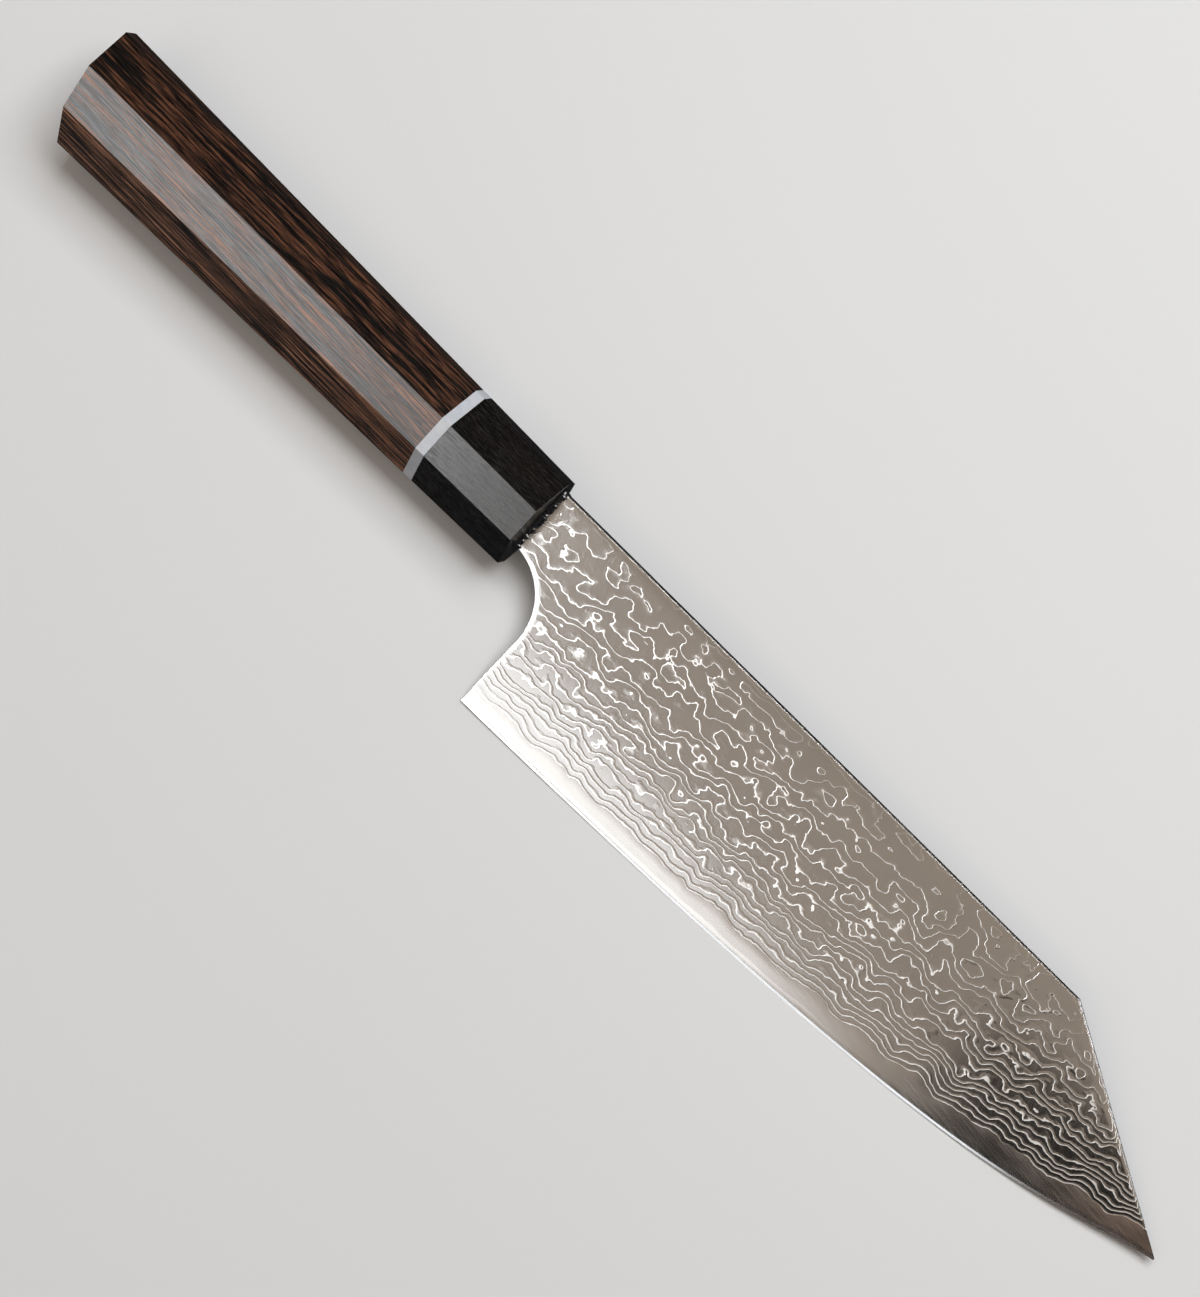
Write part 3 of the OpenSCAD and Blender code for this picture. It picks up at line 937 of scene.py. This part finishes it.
def make_world():
    """Dim grey walls, then a nearly black band, then a warm grey ceiling."""
    world = bpy.data.worlds.new("studio")
    bpy.context.scene.world = world
    world.use_nodes = True
    tree = world.node_tree
    coordinates = tree.nodes.new("ShaderNodeTexCoord")
    split = tree.nodes.new("ShaderNodeSeparateXYZ")
    bands = tree.nodes.new("ShaderNodeValToRGB")
    tree.links.new(coordinates.outputs["Generated"], split.inputs[0])
    tree.links.new(split.outputs["Z"], bands.inputs[0])
    tree.links.new(bands.outputs[0], tree.nodes["Background"].inputs[0])
    elements = bands.color_ramp.elements
    while len(elements) < len(SURROUNDINGS):
        elements.new(0.5)
    for element, (height, colour) in zip(elements, SURROUNDINGS):
        element.position = height
        element.color = (*colour, 1)


def light_studio():
    """One soft lamp from the spine's side, and boxes and a card that the facets mirror."""
    make_world()
    floor = make_plate("floor", Vector((0, 0, 0)), (FLOOR_SIZE, FLOOR_SIZE), floor_paint())
    floor.visible_glossy = False
    key = make_softbox("key", KEY_AT, Vector((0, 0, 0)), KEY_SIZE, KEY_RADIANCE)
    key.visible_glossy = False
    for overhead_box in OVERHEAD_BOXES:
        make_overhead_box(*overhead_box)
    for side_box in SIDE_BOXES:
        make_softbox(*side_box).visible_diffuse = False
    card = make_plate("dark_card", Vector((*CARD_AT, BOX_HEIGHT)), CARD_SIZE, dark_card_paint())
    card.visible_camera = False


# ---- putting it together ----


def dress(piece, material):
    """Gives a piece its only material."""
    piece.data.materials.clear()
    piece.data.materials.append(material)


steel_pattern = patterned_steel()

core = make_core()
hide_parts("core_steel")
dress(core, core_steel())

right = make_cladding("cladding_sheet_right", 1)
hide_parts("cladding_right")
dress(right, steel_pattern)

left = make_cladding("cladding_sheet_left", -1)
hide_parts("cladding_left")
dress(left, steel_pattern)

seal = make_seal()
join_points(seal)
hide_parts("mouth_seal")
dress(seal, black_epoxy())

dress(ease_edges("ferrule", 0.25), black_wood())
dress(ease_edges("spacer", 0.08), white_spacer())
dress(ease_edges("handle_body", 0.22), striped_wood())
dress(ease_edges("dowel", 0.2), pale_wood())
dress(frame["nodes"]["tang_adhesive"], amber_epoxy())

light_studio()
make_camera()
bpy.context.scene.view_settings.view_transform = "Standard"
